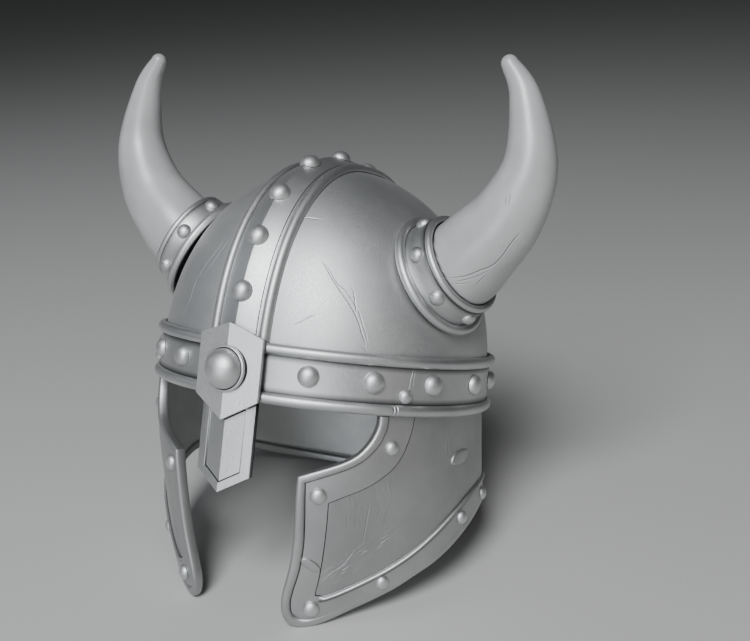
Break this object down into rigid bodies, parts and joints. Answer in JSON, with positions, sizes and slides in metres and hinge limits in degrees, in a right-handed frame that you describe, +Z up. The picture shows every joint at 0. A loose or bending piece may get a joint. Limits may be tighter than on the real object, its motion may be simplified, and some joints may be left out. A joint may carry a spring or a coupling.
{
  "type": "horned iron helmet",
  "caption": "Round iron helmet with curved horns in riveted collars, a crest band, a brow band with a boss plate, a nose guard and a neck guard that ends in cheek pieces.",
  "frame": {"origin": "middle of the bounding box on the floor, below the helmet as it stands by itself on its cheek tips and the rear of its neck guard", "axes": "+Z up, front with the nose guard towards -Y, wearer's left towards +X; the helmet is pitched back by about 20 degrees, as it stands"},
  "size_m": [0.334, 0.2646, 0.3408],
  "materials": {
    "sheet_iron": "clean forged iron, satin, lightly scratched",
    "plate_iron": "clean forged iron, satin, fine pits",
    "rivet_iron": "clean iron rivet heads, satin",
    "horn": "grey natural horn, satin, fine drying cracks"
  },
  "bodies": {
    "root": {"bowl": "sheet_iron", "brow_band": "sheet_iron", "brow_plate": "plate_iron", "brow_rivet_left_109": "rivet_iron", "brow_rivet_left_133": "rivet_iron", "brow_rivet_left_156": "rivet_iron", "brow_rivet_left_24": "rivet_iron", "brow_rivet_left_44": "rivet_iron", "brow_rivet_left_65": "rivet_iron", "brow_rivet_left_87": "rivet_iron", "brow_rivet_rear": "rivet_iron", "brow_rivet_right_109": "rivet_iron", "brow_rivet_right_133": "rivet_iron", "brow_rivet_right_156": "rivet_iron", "brow_rivet_right_24": "rivet_iron", "brow_rivet_right_44": "rivet_iron", "brow_rivet_right_65": "rivet_iron", "brow_rivet_right_87": "rivet_iron", "cheek_corner_rivet_left": "rivet_iron", "cheek_corner_rivet_right": "rivet_iron", "cheek_tip_rivet_left": "rivet_iron", "cheek_tip_rivet_right": "rivet_iron", "cheek_upper_rivet_left": "rivet_iron", "cheek_upper_rivet_right": "rivet_iron", "crest_band": "sheet_iron", "crest_rivet_1": "rivet_iron", "crest_rivet_2": "rivet_iron", "crest_rivet_3": "rivet_iron", "crest_rivet_4": "rivet_iron", "crest_rivet_5": "rivet_iron", "crest_rivet_6": "rivet_iron", "crest_rivet_7": "rivet_iron", "crest_rivet_8": "rivet_iron", "crest_rivet_9": "rivet_iron", "guard_trim": "sheet_iron", "horn_collar_left": "sheet_iron", "horn_collar_right": "sheet_iron", "horn_left": "horn", "horn_right": "horn", "lower_back_rivet_left": "rivet_iron", "lower_back_rivet_right": "rivet_iron", "lower_front_rivet_left": "rivet_iron", "lower_front_rivet_right": "rivet_iron", "lower_rear_rivet_left": "rivet_iron", "lower_rear_rivet_right": "rivet_iron", "lower_rivet_rear": "rivet_iron", "lower_side_rivet_left": "rivet_iron", "lower_side_rivet_right": "rivet_iron", "lower_turn_rivet_left": "rivet_iron", "lower_turn_rivet_right": "rivet_iron", "mend_rivet_left_55": "rivet_iron", "mend_rivet_right_55": "rivet_iron", "nasal_guard": "plate_iron", "neck_guard": "sheet_iron", "plate_boss": "plate_iron"}
  },
  "joints": []
}
